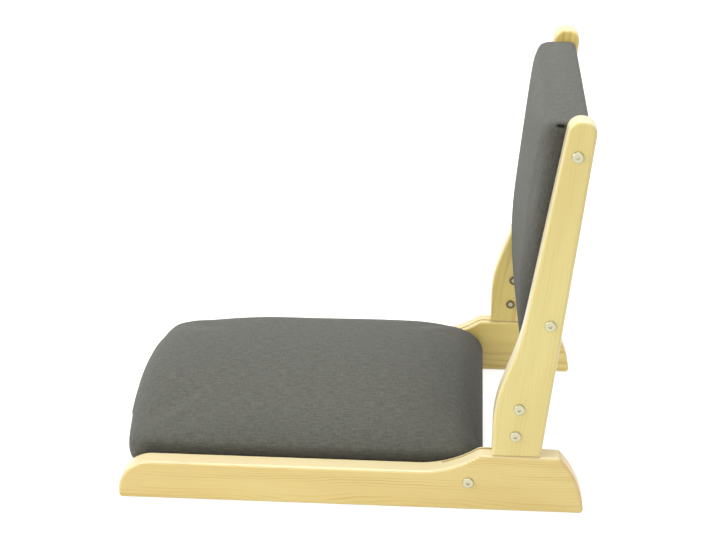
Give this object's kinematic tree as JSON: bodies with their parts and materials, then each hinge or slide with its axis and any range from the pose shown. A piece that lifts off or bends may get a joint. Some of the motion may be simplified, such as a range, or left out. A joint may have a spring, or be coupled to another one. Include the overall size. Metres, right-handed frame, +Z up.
{
  "type": "folding floor chair",
  "caption": "Low wooden floor chair with no legs: padded seat between two runners, padded back between leaning uprights that fold forward onto the seat.",
  "frame": {"origin": "on the floor under the middle of the chair's bounding box", "axes": "+X towards the back of the chair (a sitter faces -X), +Y to the sitter's right, +Z up"},
  "size_m": [0.55, 0.4052, 0.4816],
  "materials": {
    "pine": "clear lacquered pine, satin",
    "plywood": "raw plywood",
    "hardwood": "beech, raw",
    "cloth": "plain woven dark grey melange upholstery cloth",
    "foam": "polyurethane foam",
    "lining": "black non-woven lining",
    "zinc": "zinc plated, satin",
    "plate_steel": "zinc plated sheet steel"
  },
  "bodies": {
    "base": {"runner_left": "pine", "runner_right": "pine", "seat_rail_front": "pine", "seat_rail_rear": "pine", "rail_dowels": "hardwood", "seat_board": "plywood", "seat_foam": "foam", "seat_cover": "cloth", "seat_lining": "lining", "seat_screws": "zinc", "pivot_bolts": "zinc", "pivot_sleeves": "zinc"},
    "back": {"upright_left": "pine", "upright_right": "pine", "hinge_plate_left": "plate_steel", "hinge_plate_right": "plate_steel", "foot_bolts": "zinc", "foot_sleeve_nuts": "zinc", "back_bolts": "zinc", "back_stile_left": "pine", "back_stile_right": "pine", "back_rail_upper": "pine", "back_rail_lower": "pine", "insert_nuts": "zinc", "back_board": "plywood", "back_foam": "foam", "back_cover": "cloth", "back_lining": "lining"}
  },
  "joints": [
    {"name": "back_fold", "type": "hinge", "parent": "base", "child": "back", "pos_m": [0.1395, 0, 0.037], "axis": [0, -1, 0], "range_deg": [0, 84]}
  ]
}
